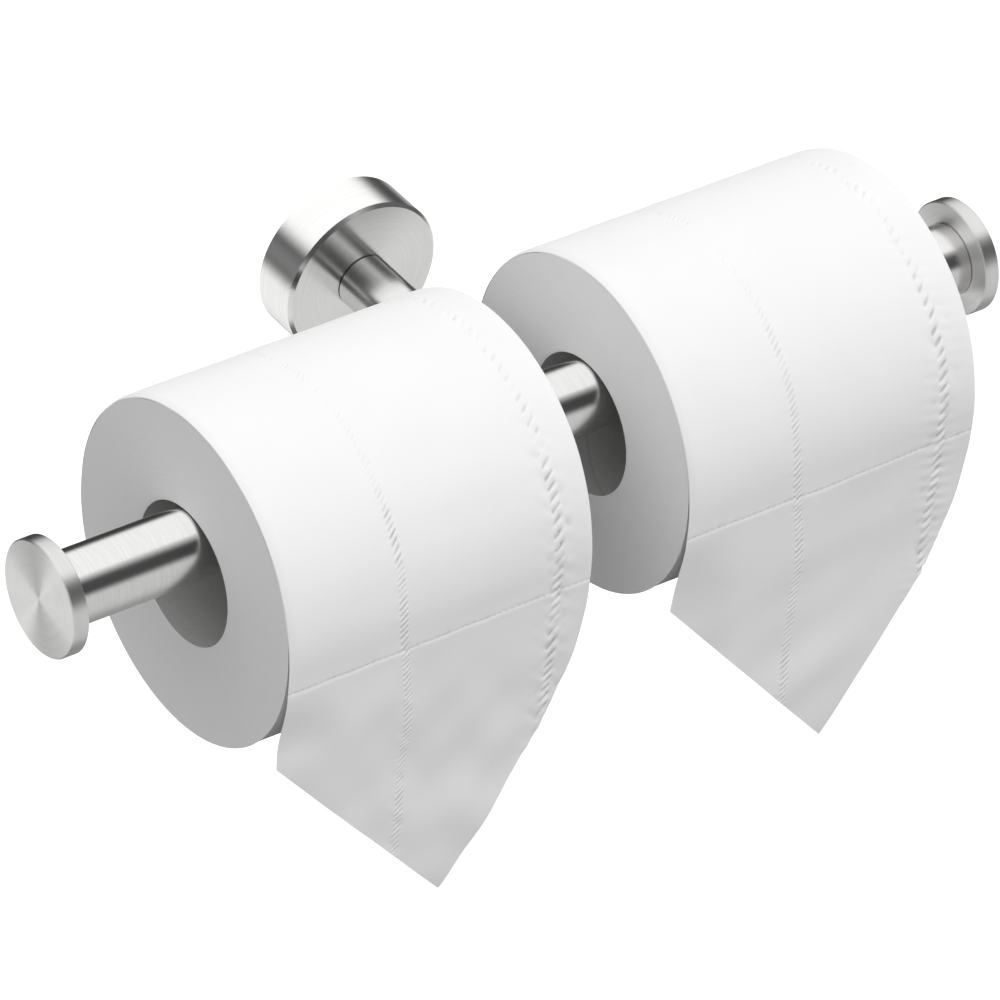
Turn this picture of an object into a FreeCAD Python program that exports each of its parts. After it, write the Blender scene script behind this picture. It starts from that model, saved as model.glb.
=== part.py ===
import FreeCAD, Part
import os

import Sketcher
from FreeCAD import Placement, Rotation, Vector

# Wall-mounted holder for two toilet rolls, in millimetres.
# Frame: +Z up, the wall is the plane y = 0 and the holder stands out of it towards -Y.
# The origin is the centre of the rosette on the wall, and the crossbar lies along X.

doc = FreeCAD.newDocument("ToiletPaperHolder")
dims = doc.addObject("Spreadsheet::Sheet", "Dims")

SIZES = [
    ("wall_reach", 89, "wall to the crossbar's axis"),
    ("holder_width", 314, "outside face to outside face of the end caps"),
    ("bar_dia", 21.3, "crossbar tube, outside"),
    ("bar_wall", 1.2, "crossbar tube, wall thickness"),
    ("disc_dia", 34, "end cap disc"),
    ("disc_thick", 5, "end cap disc thickness"),
    ("disc_edge", 0.4, "edge break of the discs"),
    ("spigot_dia", 18.8, "end cap spigot, a press fit in the tube"),
    ("spigot_length", 12, "end cap spigot length"),
    ("seal_thick", 0.3, "black washers at the visible joints"),
    ("seal_inset", 0.5, "how far those washers stay below the tube's surface"),
    ("post_dia", 16.5, "post tube, outside"),
    ("post_wall", 2, "post tube, wall thickness"),
    ("cope_gap", 0.02, "play between the coped post and the crossbar"),
    ("rosette_dia", 50, "rosette, outside"),
    ("rosette_depth", 15, "rosette, from the wall to its face"),
    ("rosette_wall", 2.5, "rosette side wall"),
    ("rosette_face", 3, "rosette front wall"),
    ("rosette_edge", 1, "chamfer round the rosette's face"),
    ("bracket_play", 0.2, "radial play between bracket and rosette"),
    ("bracket_plate", 3, "bracket base plate"),
    ("bracket_rim", 8, "bracket rim height from the wall"),
    ("rim_wall", 2.5, "bracket rim thickness"),
    ("groove_depth", 0.8, "grub screw groove in the bracket's rim"),
    ("groove_half", 2.2, "half the width of that groove at the rim's surface"),
    ("groove_level", 5, "grub screw axis, from the wall"),
    ("fixing_circle", 26, "circle of the two wall screws"),
    ("fixing_hole", 5, "wall screw hole"),
    ("fixing_neck", 4.8, "wall screw neck in that hole"),
    ("fixing_dia", 4, "wall screw thread"),
    ("fixing_head", 7.6, "wall screw head"),
    ("fixing_head_height", 2.6, "wall screw head height"),
    ("fixing_reach", 13, "straight thread of a wall screw beyond the wall face"),
    ("fixing_tip", 3, "pointed tip of a wall screw"),
    ("grub_dia", 4, "grub screw"),
    ("grub_length", 3, "grub screw length"),
    ("grub_socket", 2, "grub screw socket, across flats"),
    ("tie_dia", 5.9, "tie screw shank, an M6 thread"),
    ("tie_hole", 6.6, "clearance holes for the tie screw"),
    ("tie_length", 75, "tie screw length under its head"),
    ("tie_head", 10, "tie screw head"),
    ("tie_head_height", 6, "tie screw head height"),
    ("tie_socket", 5, "tie screw socket, across flats"),
    ("tie_washer_dia", 12, "washer under the tie screw's head"),
    ("tie_washer_thick", 1, "its thickness"),
    ("nut_bore", 6, "threaded hole of the saddle nut"),
    ("nut_width", 16, "saddle nut, along the crossbar"),
    ("nut_back", 2, "saddle nut's flat back, from the crossbar's axis"),
    ("nut_play", 0.05, "play between the saddle nut and the tube"),
    ("roll_dia", 100, "toilet roll"),
    ("roll_width", 100, "toilet roll width"),
    ("core_bore", 42, "inside of the cardboard core"),
    ("core_board", 0.8, "core board thickness"),
    ("core_inset", 0.3, "how far the core ends lie inside the roll's faces"),
    ("layer_gap", 0.05, "gap between the core and the first turn of paper"),
    ("hang_gap", 0.3, "clearance where the core hangs on the crossbar"),
    ("left_roll_start", 110, "left roll's outer face, from the centre plane"),
    ("right_roll_start", 23, "right roll's inner face, from the centre plane"),
    ("outer_gap", 0.3, "clearance between a roll and its loose outer sheet"),
    ("tissue", 0.4, "outer sheet, two plies"),
    ("corner_drop", 34, "near corner of the sheet, below the roll's axis"),
    ("tip_side", 59, "pointed tip, from the near edge"),
    ("tip_drop", 101, "pointed tip, below the roll's axis"),
    ("far_side", 86, "start of the rounded far edge, from the near edge"),
    ("far_drop", 57, "its level below the roll's axis"),
    ("far_top_drop", 8, "end of the rounded far edge, below the roll's axis"),
    ("far_radius", 95, "radius of the rounded far edge"),
]
for row, (alias, size, meaning) in enumerate(SIZES, start=1):
    dims.set("A%d" % row, meaning)
    dims.set("B%d" % row, str(size))
    dims.setAlias("B%d" % row, alias)
doc.recompute()

# Turning axes: a body is drawn about its own Z and then laid along one of these.
FROM_WALL = Rotation(Vector(1, 0, 0), 90)
ALONG_BAR = Rotation(Vector(0, 1, 0), 90)
AGAINST_BAR = Rotation(Vector(0, 1, 0), -90)
UPRIGHT = Rotation()


def number(expression):
    """The value of an expression in the sheet's words, such as Dims.bar_dia / 2."""
    result = dims.evalExpression(expression)
    return float(getattr(result, "Value", result))


def place(part, rotation, x="0", y="0", z="0"):
    """Sets a sub-part's Placement, its three positions bound to the sheet."""
    part.Placement = Placement(Vector(0, 0, 0), rotation)
    for axis, expression in (("x", x), ("y", y), ("z", z)):
        part.setExpression("Placement.Base." + axis, expression)


def new_body(label):
    body = doc.addObject("PartDesign::Body", "Body_" + label)
    body.Label = label
    return body


def sketch_on(body, role, name, offset="0"):
    """An empty sketch on one of the body's origin planes, moved along its normal by an expression."""
    sketch = body.newObject("Sketcher::SketchObject", name)
    plane = [feature for feature in body.Origin.OriginFeatures if feature.Role == role][0]
    sketch.AttachmentSupport = [(plane, "")]
    sketch.MapMode = "FlatFace"
    sketch.setExpression("AttachmentOffset.Base.z", offset)
    return sketch


def pin_point(sketch, geometry, end, x, y):
    """Fixes a point of the sketch at a pair of expressions."""
    for kind, axis, expression in (("DistanceX", -2, x), ("DistanceY", -1, y)):
        if abs(number(expression)) < 1e-9:
            sketch.addConstraint(Sketcher.Constraint("PointOnObject", geometry, end, axis))
        else:
            distance = Sketcher.Constraint(kind, -1, 1, geometry, end, number(expression))
            index = sketch.addConstraint(distance)
            sketch.setExpression("Constraints[%d]" % index, expression)


def outline(sketch, points):
    """A closed straight-sided outline through pairs of expressions."""
    corners = [Vector(number(x), number(y), 0) for x, y in points]
    count = len(corners)
    for index in range(count):
        following = corners[(index + 1) % count]
        sketch.addGeometry(Part.LineSegment(corners[index], following), False)
    for index in range(count):
        sketch.addConstraint(Sketcher.Constraint("Coincident", index, 2, (index + 1) % count, 1))
    for index, (x, y) in enumerate(points):
        pin_point(sketch, index, 1, x, y)


def circle(sketch, x, y, radius):
    """A circle whose centre and radius are expressions."""
    centre = Vector(number(x), number(y), 0)
    index = sketch.addGeometry(Part.Circle(centre, Vector(0, 0, 1), number(radius)), False)
    pin_point(sketch, index, 3, x, y)
    size = sketch.addConstraint(Sketcher.Constraint("Radius", index, number(radius)))
    sketch.setExpression("Constraints[%d]" % size, radius)


def turned(label, profile):
    """A body turned about its Z axis from a profile of (radius, height) expressions."""
    body = new_body(label)
    sketch = sketch_on(body, "XZ_Plane", "Profile_" + label)
    outline(sketch, profile)
    turning = body.newObject("PartDesign::Revolution", "Turning_" + label)
    turning.Profile = sketch
    turning.ReferenceAxis = (sketch, ["V_Axis"])
    turning.Angle = 360
    doc.recompute()
    return body


def ring(label, inner, outer, length):
    """A plain turned ring or tube that starts at height 0."""
    return turned(label, [(inner, "0"), (outer, "0"), (outer, length), (inner, length)])


def pocket(body, sketch, name, length, reverse=False, both_ways=False):
    """Cuts a sketch into the body, and stops the script if nothing was cut away."""
    before = body.Shape.Volume
    cut = body.newObject("PartDesign::Pocket", name)
    cut.Profile = sketch
    cut.Type = 0
    cut.Midplane = both_ways
    cut.Reversed = reverse
    cut.setExpression("Length", length)
    doc.recompute()
    assert body.Shape.Volume < before - 1e-3, name + " cuts nothing"
    return cut


def hex_socket(body, name, across, depth, level="0", reverse=True):
    """A hexagon socket cut along the body's axis from the plane at a level."""
    sketch = sketch_on(body, "XY_Plane", "Sketch_" + name, level)
    corner = "%s / sqrt(3)" % across
    half = "%s / sqrt(12)" % across
    side = "%s / 2" % across
    outline(sketch, [
        (corner, "0"), (half, side), ("-" + half, side),
        ("-" + corner, "0"), ("-" + half, "-" + side), (half, "-" + side),
    ])
    pocket(body, sketch, name, depth, reverse)


# ---- wall bracket: a turned cup screwed to the wall, which the rosette slips over ----

bracket_radius = "Dims.rosette_dia / 2 - Dims.rosette_wall - Dims.bracket_play"
bracket = turned("wall_bracket", [
    ("0", "0"),
    (bracket_radius, "0"),
    (bracket_radius, "Dims.groove_level - Dims.groove_half"),
    (bracket_radius + " - Dims.groove_depth", "Dims.groove_level - Dims.groove_half + Dims.groove_depth"),
    (bracket_radius + " - Dims.groove_depth", "Dims.groove_level + Dims.groove_half - Dims.groove_depth"),
    (bracket_radius, "Dims.groove_level + Dims.groove_half"),
    (bracket_radius, "Dims.bracket_rim"),
    (bracket_radius + " - Dims.rim_wall", "Dims.bracket_rim"),
    (bracket_radius + " - Dims.rim_wall", "Dims.bracket_plate"),
    ("0", "Dims.bracket_plate"),
])
# The two screw holes stand at 45 degrees, clear of the grub screw below.
hole_sketch = sketch_on(bracket, "XY_Plane", "Sketch_screw_hole")
circle(hole_sketch, "Dims.fixing_circle / sqrt(8)", "Dims.fixing_circle / sqrt(8)", "Dims.fixing_hole / 2")
screw_hole = pocket(bracket, hole_sketch, "Screw_hole", "Dims.bracket_plate", reverse=True)
pair = bracket.newObject("PartDesign::PolarPattern", "Screw_hole_pair")
pair.Originals = [screw_hole]
pair.Axis = (hole_sketch, ["N_Axis"])
pair.Angle = 360
pair.Occurrences = 2
bracket.Tip = pair
place(bracket, FROM_WALL)

# ---- wall screws: two pan-head screws with pointed tips, one node ----


def wall_screw(name, side):
    """One screw along Y: head on the bracket's plate, neck through it, thread and tip in the wall."""
    offset = "%s * Dims.fixing_circle / sqrt(8)" % side
    into_wall = Rotation(Vector(1, 0, 0), -90)
    head = doc.addObject("Part::Cylinder", name + "_head")
    head.setExpression("Radius", "Dims.fixing_head / 2")
    head.setExpression("Height", "Dims.fixing_head_height")
    place(head, into_wall, offset, "-Dims.bracket_plate - Dims.fixing_head_height", offset)
    neck = doc.addObject("Part::Cylinder", name + "_neck")
    neck.setExpression("Radius", "Dims.fixing_neck / 2")
    neck.setExpression("Height", "Dims.bracket_plate")
    place(neck, into_wall, offset, "-Dims.bracket_plate", offset)
    shank = doc.addObject("Part::Cylinder", name + "_shank")
    shank.setExpression("Radius", "Dims.fixing_dia / 2")
    shank.setExpression("Height", "Dims.fixing_reach")
    place(shank, into_wall, offset, "0", offset)
    tip = doc.addObject("Part::Cone", name + "_tip")
    tip.setExpression("Radius1", "Dims.fixing_dia / 2")
    tip.Radius2 = 0.3
    tip.setExpression("Height", "Dims.fixing_tip")
    place(tip, into_wall, offset, "Dims.fixing_reach", offset)
    solid = doc.addObject("Part::MultiFuse", name + "_solid")
    solid.Shapes = [head, neck, shank, tip]
    slots = []
    for turn in (0, 90):
        slot = doc.addObject("Part::Box", "%s_slot_%d" % (name, turn))
        slot.setExpression("Length", "Dims.fixing_head / 2")
        slot.setExpression("Height", "Dims.fixing_head / 7")
        slot.setExpression("Width", "Dims.fixing_head_height / 2")
        across, along = ("z", "x") if turn == 0 else ("x", "z")
        slot.Placement = Placement(Vector(0, 0, 0), Rotation(Vector(0, 1, 0), turn))
        sign = "-" if turn == 0 else "+"
        slot.setExpression("Placement.Base." + along, offset + " %s Dims.fixing_head / 4" % sign)
        slot.setExpression("Placement.Base." + across, offset + " - Dims.fixing_head / 14")
        slot.setExpression("Placement.Base.y", "-Dims.bracket_plate - Dims.fixing_head_height")
        slots.append(slot)
    cross = doc.addObject("Part::MultiFuse", name + "_cross")
    cross.Shapes = slots
    screw = doc.addObject("Part::Cut", name)
    screw.Base = solid
    screw.Tool = cross
    return screw


screws = doc.addObject("Part::Compound", "Screws")
screws.Label = "bracket_screws"
screws.Links = [wall_screw("Upper_screw", "1"), wall_screw("Lower_screw", "-1")]

# ---- rosette: a turned cup with a chamfered face, a centre hole and a grub screw hole below ----

rosette_radius = "Dims.rosette_dia / 2"
cup_inside = "Dims.rosette_dia / 2 - Dims.rosette_wall"
cup_depth = "Dims.rosette_depth - Dims.rosette_face"
rosette = turned("rosette", [
    (cup_inside, "0"),
    (rosette_radius, "0"),
    (rosette_radius, "Dims.rosette_depth - Dims.rosette_edge"),
    (rosette_radius + " - Dims.rosette_edge", "Dims.rosette_depth"),
    ("Dims.tie_hole / 2", "Dims.rosette_depth"),
    ("Dims.tie_hole / 2", cup_depth),
    (cup_inside, cup_depth),
])
grub_sketch = sketch_on(rosette, "XZ_Plane", "Sketch_grub_hole")
circle(grub_sketch, "0", "Dims.groove_level", "Dims.grub_dia / 2")
pocket(rosette, grub_sketch, "Grub_hole", "Dims.rosette_dia", reverse=True)
place(rosette, FROM_WALL)

# ---- grub screw: locks the rosette on the bracket, its cone tip in the bracket's groove ----

grub_radius = "Dims.grub_dia / 2"
grub = turned("grub_screw", [
    ("0", "0"),
    (grub_radius + " - Dims.groove_depth", "0"),
    (grub_radius, "Dims.groove_depth"),
    (grub_radius, "Dims.grub_length"),
    ("0", "Dims.grub_length"),
])
hex_socket(grub, "Grub_socket", "Dims.grub_socket", "Dims.grub_length / 2", "Dims.grub_length", False)
place(grub, Rotation(Vector(1, 0, 0), 180), "0", "-Dims.groove_level",
      "-(%s) + Dims.groove_depth" % bracket_radius)

# ---- tie screw and washer: pull the crossbar, the post and the rosette together ----

tie_screw = turned("tie_screw", [
    ("0", "0"),
    ("Dims.tie_head / 2", "0"),
    ("Dims.tie_head / 2", "Dims.tie_head_height"),
    ("Dims.tie_dia / 2", "Dims.tie_head_height"),
    ("Dims.tie_dia / 2", "Dims.tie_head_height + Dims.tie_length"),
    ("0", "Dims.tie_head_height + Dims.tie_length"),
])
hex_socket(tie_screw, "Tie_socket", "Dims.tie_socket", "Dims.tie_head_height / 2")
place(tie_screw, FROM_WALL, "0",
      "-(%s) + Dims.tie_washer_thick + Dims.tie_head_height" % cup_depth)

tie_washer = ring("tie_washer", "Dims.tie_hole / 2", "Dims.tie_washer_dia / 2", "Dims.tie_washer_thick")
place(tie_washer, FROM_WALL, "0", "-(%s) + Dims.tie_washer_thick" % cup_depth)

# ---- post: a tube coped round the crossbar, with a black washer at its foot ----

post_washer = ring("post_washer", "Dims.tie_hole / 2",
                   "Dims.post_dia / 2 - Dims.seal_inset", "Dims.seal_thick")
place(post_washer, FROM_WALL, "0", "-Dims.rosette_depth")

post_foot = "Dims.rosette_depth + Dims.seal_thick"
bar_level = "Dims.wall_reach - (%s)" % post_foot
post = ring("post", "Dims.post_dia / 2 - Dims.post_wall", "Dims.post_dia / 2", bar_level)
cope_sketch = sketch_on(post, "YZ_Plane", "Sketch_cope")
circle(cope_sketch, "0", bar_level, "Dims.bar_dia / 2 + Dims.cope_gap")
pocket(post, cope_sketch, "Cope", "2 * Dims.post_dia", both_ways=True)
place(post, FROM_WALL, "0", "-(%s)" % post_foot)

# ---- crossbar: a round tube with one hole at the back for the tie screw ----

bar_length = "Dims.holder_width - 2 * Dims.disc_thick - 2 * Dims.seal_thick"
bar_bore = "Dims.bar_dia / 2 - Dims.bar_wall"
crossbar = ring("crossbar", bar_bore, "Dims.bar_dia / 2", bar_length)
bar_hole_sketch = sketch_on(crossbar, "XZ_Plane", "Sketch_bar_hole")
circle(bar_hole_sketch, "0", "(%s) / 2" % bar_length, "Dims.tie_hole / 2")
pocket(crossbar, bar_hole_sketch, "Bar_hole", "Dims.bar_dia")
place(crossbar, ALONG_BAR, "-(%s) / 2" % bar_length, "-Dims.wall_reach")

# ---- saddle nut: a threaded block inside the crossbar that the tie screw pulls on ----

nut_round = doc.addObject("Part::Cylinder", "Nut_round")
nut_round.setExpression("Radius", bar_bore + " - Dims.nut_play")
nut_round.setExpression("Height", "Dims.nut_width")
place(nut_round, ALONG_BAR, "-Dims.nut_width / 2", "-Dims.wall_reach")
nut_block = doc.addObject("Part::Box", "Nut_block")
nut_block.setExpression("Length", "Dims.nut_width")
nut_block.setExpression("Width", "Dims.bar_dia / 2")
nut_block.setExpression("Height", "Dims.bar_dia * 0.6")
place(nut_block, UPRIGHT, "-Dims.nut_width / 2", "-Dims.wall_reach + Dims.nut_back", "-Dims.bar_dia * 0.3")
nut_blank = doc.addObject("Part::Common", "Nut_blank")
nut_blank.Base = nut_round
nut_blank.Tool = nut_block
nut_hole = doc.addObject("Part::Cylinder", "Nut_hole")
nut_hole.setExpression("Radius", "Dims.nut_bore / 2")
nut_hole.setExpression("Height", "Dims.bar_dia")
place(nut_hole, FROM_WALL, "0", "-Dims.wall_reach + Dims.bar_dia / 2")
bar_nut = doc.addObject("Part::Cut", "Nut")
bar_nut.Label = "bar_nut"
bar_nut.Base = nut_blank
bar_nut.Tool = nut_hole

# ---- end caps: turned discs with a spigot in the tube, and the black washers behind them ----

disc_start = "Dims.spigot_length + Dims.seal_thick"
disc_end = disc_start + " + Dims.disc_thick"
cap_profile = [
    ("0", "0"),
    ("Dims.spigot_dia / 2", "0"),
    ("Dims.spigot_dia / 2", disc_start),
    ("Dims.disc_dia / 2 - Dims.disc_edge", disc_start),
    ("Dims.disc_dia / 2", disc_start + " + Dims.disc_edge"),
    ("Dims.disc_dia / 2", disc_end + " - Dims.disc_edge"),
    ("Dims.disc_dia / 2 - Dims.disc_edge", disc_end),
    ("0", disc_end),
]
spigot_end = "Dims.holder_width / 2 - Dims.disc_thick - Dims.seal_thick - Dims.spigot_length"
bar_end = "(%s) / 2" % bar_length
end_parts = []
for side, turn, sign in (("left", AGAINST_BAR, "-"), ("right", ALONG_BAR, "")):
    cap = turned(side + "_end_cap", cap_profile)
    place(cap, turn, "%s(%s)" % (sign, spigot_end), "-Dims.wall_reach")
    washer = ring(side + "_cap_washer", "Dims.spigot_dia / 2",
                  "Dims.bar_dia / 2 - Dims.seal_inset", "Dims.seal_thick")
    place(washer, turn, "%s%s" % (sign, bar_end), "-Dims.wall_reach")
    end_parts += [cap, washer]

# ---- rolls: a cardboard core, the wound paper and the loose outer sheet that hangs in front ----

roll_level = "Dims.bar_dia / 2 + Dims.hang_gap - Dims.core_bore / 2"
paper_bore = "Dims.core_bore / 2 + Dims.core_board + Dims.layer_gap"
sheet_inner = "Dims.roll_dia / 2 + Dims.outer_gap"
sheet_outer = sheet_inner + " + Dims.tissue"


def paper_roll(side, start):
    """Core and wound paper, hanging on the crossbar; start is the roll's lower x."""
    core = ring(side + "_core", "Dims.core_bore / 2", "Dims.core_bore / 2 + Dims.core_board",
                "Dims.roll_width - 2 * Dims.core_inset")
    place(core, ALONG_BAR, start + " + Dims.core_inset", "-Dims.wall_reach", roll_level)
    paper = ring(side + "_paper", paper_bore, "Dims.roll_dia / 2", "Dims.roll_width")
    place(paper, ALONG_BAR, start, "-Dims.wall_reach", roll_level)
    return [core, paper]


def outer_sheet(side, start):
    """The last sheet: over the top of the roll, down its front, folded to a point."""
    body = new_body(side + "_sheet")
    wrap = sketch_on(body, "YZ_Plane", "Sketch_%s_wrap" % side)
    for index, radius in enumerate((sheet_inner, sheet_outer)):
        reach = number(radius)
        front = Vector(-reach, 0, 0)
        shoulder = Vector(-reach * 0.5 ** 0.5, reach * 0.5 ** 0.5, 0)
        top = Vector(0, reach, 0)
        wrap.addGeometry(Part.Arc(top, shoulder, front), False)
        wrap.addConstraint(Sketcher.Constraint("Coincident", index, 3, -1, 1))
        size = wrap.addConstraint(Sketcher.Constraint("Radius", index, reach))
        wrap.setExpression("Constraints[%d]" % size, radius)
        wrap.addConstraint(Sketcher.Constraint("PointOnObject", index, 1, -2))
        wrap.addConstraint(Sketcher.Constraint("PointOnObject", index, 2, -1))
    inner, outer = number(sheet_inner), number(sheet_outer)
    wrap.addGeometry(Part.LineSegment(Vector(0, inner, 0), Vector(0, outer, 0)), False)
    wrap.addGeometry(Part.LineSegment(Vector(-inner, 0, 0), Vector(-outer, 0, 0)), False)
    for line, end in ((2, 1), (3, 2)):
        wrap.addConstraint(Sketcher.Constraint("Coincident", line, 1, 0, end))
        wrap.addConstraint(Sketcher.Constraint("Coincident", line, 2, 1, end))
    over = body.newObject("PartDesign::Pad", "Wrap_" + side)
    over.Profile = wrap
    over.setExpression("Length", "Dims.roll_width")
    doc.recompute()

    front = sketch_on(body, "XZ_Plane", "Sketch_%s_tail" % side, sheet_inner)
    near, far = "0", "Dims.roll_width"
    points = [
        (near, "0"),
        (near, "-Dims.corner_drop"),
        ("Dims.tip_side", "-Dims.tip_drop"),
        ("Dims.far_side", "-Dims.far_drop"),
        (far, "-Dims.far_top_drop"),
        (far, "0"),
    ]
    corners = [Vector(number(x), number(y), 0) for x, y in points]
    for index, corner in enumerate(corners):
        following = corners[(index + 1) % len(corners)]
        if index == 3:
            chord = following - corner
            half = chord.Length / 2
            radius = number("Dims.far_radius")
            rise = radius - (radius ** 2 - half ** 2) ** 0.5
            outward = Vector(chord.y, -chord.x, 0).normalize()
            bulge = (corner + following) * 0.5 + outward * rise
            front.addGeometry(Part.Arc(corner, bulge, following), False)
        else:
            front.addGeometry(Part.LineSegment(corner, following), False)
    for index in range(len(points)):
        following = (index + 1) % len(points)
        front.addConstraint(Sketcher.Constraint("Coincident", index, 2, following, 1))
    for index, (x, y) in enumerate(points):
        pin_point(front, index, 1, x, y)
    size = front.addConstraint(Sketcher.Constraint("Radius", 3, number("Dims.far_radius")))
    front.setExpression("Constraints[%d]" % size, "Dims.far_radius")
    tail = body.newObject("PartDesign::Pad", "Tail_" + side)
    tail.Profile = front
    tail.setExpression("Length", "Dims.tissue")
    doc.recompute()
    place(body, UPRIGHT, start, "-Dims.wall_reach", roll_level)
    return body


roll_parts = []
for side, start in (("left", "-Dims.left_roll_start"), ("right", "Dims.right_roll_start")):
    roll_parts += paper_roll(side, start)
    roll_parts.append(outer_sheet(side, start))

# ---- checks and export ----

doc.recompute()
sub_parts = [bracket, screws, rosette, grub, tie_screw, tie_washer, post_washer, post, crossbar, bar_nut]
sub_parts += end_parts + roll_parts
for thing in doc.Objects:
    assert "Invalid" not in thing.State and "Error" not in thing.State, thing.Name + " failed"
for part in sub_parts:
    assert not part.Shape.isNull() and part.Shape.isValid(), part.Label + " has no valid shape"

os.makedirs("parts", exist_ok=True)
for part in sub_parts:
    part.Shape.exportStep("parts/%s.step" % part.Label)
    box = part.Shape.BoundBox
    print("%-17s %2d solid(s) %9.1f mm3  x %6.1f..%6.1f  y %6.1f..%6.1f  z %6.1f..%6.1f" % (
        part.Label, len(part.Shape.Solids), part.Shape.Volume,
        box.XMin, box.XMax, box.YMin, box.YMax, box.ZMin, box.ZMax))
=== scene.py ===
import math

import bmesh
import bpy
import numpy as np
from mathutils import Matrix, Vector


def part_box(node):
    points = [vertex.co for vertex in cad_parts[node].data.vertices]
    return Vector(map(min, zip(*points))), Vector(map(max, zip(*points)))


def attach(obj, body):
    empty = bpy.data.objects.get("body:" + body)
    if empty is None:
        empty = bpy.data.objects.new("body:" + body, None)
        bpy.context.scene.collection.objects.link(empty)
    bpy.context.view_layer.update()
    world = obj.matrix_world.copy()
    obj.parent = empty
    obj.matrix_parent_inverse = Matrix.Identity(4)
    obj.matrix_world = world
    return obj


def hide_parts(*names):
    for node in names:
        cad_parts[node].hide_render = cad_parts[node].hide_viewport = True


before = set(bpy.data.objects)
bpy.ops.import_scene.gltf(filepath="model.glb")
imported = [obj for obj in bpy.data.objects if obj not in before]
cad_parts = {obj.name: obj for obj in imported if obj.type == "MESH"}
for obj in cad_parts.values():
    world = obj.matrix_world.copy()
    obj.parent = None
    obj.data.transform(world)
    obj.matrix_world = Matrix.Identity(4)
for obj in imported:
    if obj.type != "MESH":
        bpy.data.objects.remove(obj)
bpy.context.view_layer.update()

# Camera: a long lens at the left of the holder and above it, with the picture tilted a little
# so that the crossbar climbs to the right.
camera_place = Vector((-1.1468, -1.4850, 1.3813))
camera_turn = math.radians(39.33)
camera_dip = math.radians(37.96)
camera_roll = math.radians(5.92)
ahead = Vector((
    math.sin(camera_turn) * math.cos(camera_dip),
    math.cos(camera_turn) * math.cos(camera_dip),
    -math.sin(camera_dip),
))
level_right = Vector((math.cos(camera_turn), -math.sin(camera_turn), 0))
level_up = level_right.cross(ahead)
right = level_right * math.cos(camera_roll) + level_up * math.sin(camera_roll)
up = level_up * math.cos(camera_roll) - level_right * math.sin(camera_roll)
camera_data = bpy.data.cameras.new("studio_camera")
camera_data.lens = 297.4
camera_data.sensor_width = 36
camera_data.clip_end = 50
camera = bpy.data.objects.new("studio_camera", camera_data)
camera_axes = Matrix((right, up, -ahead)).transposed()
camera.matrix_world = Matrix.Translation(camera_place) @ camera_axes.to_4x4()
bpy.context.scene.collection.objects.link(camera)
bpy.context.scene.camera = camera

# ---------------------------------------------------------------------------------------------
# Wall bracket: a turned steel cup that two screws hold on the wall. The rosette slips over it,
# and a grub screw locks in the groove round its rim. It is plain machined steel with lathe marks.


def link_node(nodes, kind, name, **settings):
    """Adds a shader node, names it and sets its properties."""
    node = nodes.new(kind)
    node.name = name
    for key, value in settings.items():
        setattr(node, key, value)
    return node


def new_group(name, inputs, outputs):
    """An empty shader node group with named sockets, and its input and output nodes."""
    group = bpy.data.node_groups.new(name, "ShaderNodeTree")
    for label, kind, value in inputs:
        socket = group.interface.new_socket(label, in_out="INPUT", socket_type=kind)
        socket.default_value = value
    for label, kind in outputs:
        group.interface.new_socket(label, in_out="OUTPUT", socket_type=kind)
    entry = group.nodes.new("NodeGroupInput")
    leaving = group.nodes.new("NodeGroupOutput")
    return group, entry, leaving


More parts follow.
